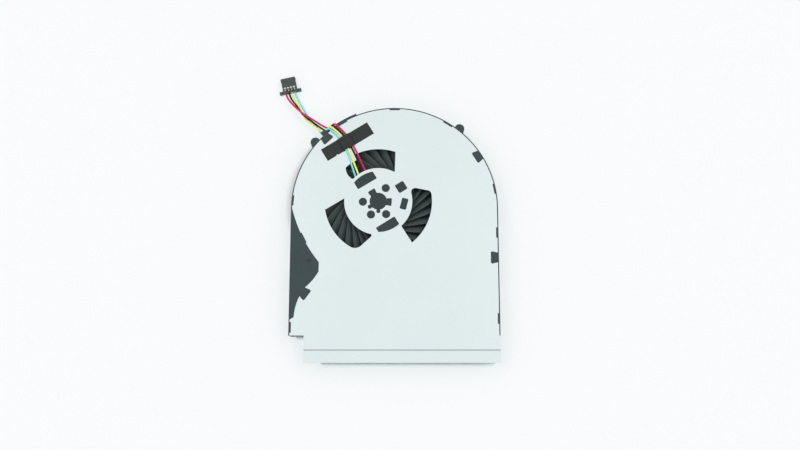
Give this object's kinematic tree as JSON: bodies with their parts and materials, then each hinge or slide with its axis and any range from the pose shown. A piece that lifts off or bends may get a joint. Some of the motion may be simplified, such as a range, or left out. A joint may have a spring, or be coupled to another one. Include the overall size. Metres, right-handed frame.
{
  "type": "laptop cooling blower fan",
  "caption": "Flat laptop blower fan: stamped motor plate with curved air inlets, moulded volute frame, swept-blade impeller, wide stepped outlet lip and short leads to a plug.",
  "frame": {"origin": "motor axis at the underside of the inlet cover", "axes": "+Z along the motor axis, out of the motor plate; -Y the way the air leaves; the blower lies on its inlet cover"},
  "size_m": [0.0869, 0.116, 0.009],
  "materials": {
    "plate_metal": "satin",
    "cover_metal": "satin",
    "frame_plastic": "moulded",
    "mount_plastic": "moulded",
    "impeller_plastic": "moulded",
    "screw_steel": "blackened",
    "tube_brass": "turned",
    "sleeve_bronze": "sintered",
    "bearing_plastic": "moulded",
    "shaft_steel": "ground",
    "core_steel": "stamped",
    "insulator_plastic": "moulded",
    "winding_copper": "enamelled",
    "board_laminate": "solder mask",
    "chip_epoxy": "moulded",
    "capacitor_ceramic": "fired",
    "solder": "bright",
    "yoke_steel": "drawn",
    "magnet": "bonded",
    "red_insulation": "extruded",
    "black_insulation": "extruded",
    "yellow_insulation": "extruded",
    "blue_insulation": "extruded",
    "plug_plastic": "moulded",
    "terminal_tin": "plated",
    "tape": "matt film"
  },
  "bodies": {
    "housing": {"base_plate": "plate_metal", "inlet_cover": "cover_metal", "frame": "frame_plastic", "motor_mount": "mount_plastic", "cover_screws": "screw_steel", "bearing_tube": "tube_brass", "bearing_sleeve": "sleeve_bronze", "thrust_pad": "bearing_plastic", "shaft_retainer": "bearing_plastic", "stator_core": "core_steel", "lower_insulator": "insulator_plastic", "upper_insulator": "insulator_plastic", "stator_coils": "winding_copper", "circuit_board": "board_laminate", "driver_chip": "chip_epoxy", "hall_sensor": "chip_epoxy", "chip_capacitors": "capacitor_ceramic", "solder_joints": "solder", "wire_red": "red_insulation", "wire_black": "black_insulation", "wire_yellow": "yellow_insulation", "wire_blue": "blue_insulation", "plug_housing": "plug_plastic", "plug_terminals": "terminal_tin", "tape_strip": "tape"},
    "rotor": {"impeller": "impeller_plastic", "rotor_yoke": "yoke_steel", "ring_magnet": "magnet", "shaft": "shaft_steel"}
  },
  "joints": [
    {"name": "rotor_spin", "type": "hinge", "parent": "housing", "child": "rotor", "pos_m": [0, 0, 0], "axis": [0, 0, 1], "continuous": true}
  ]
}
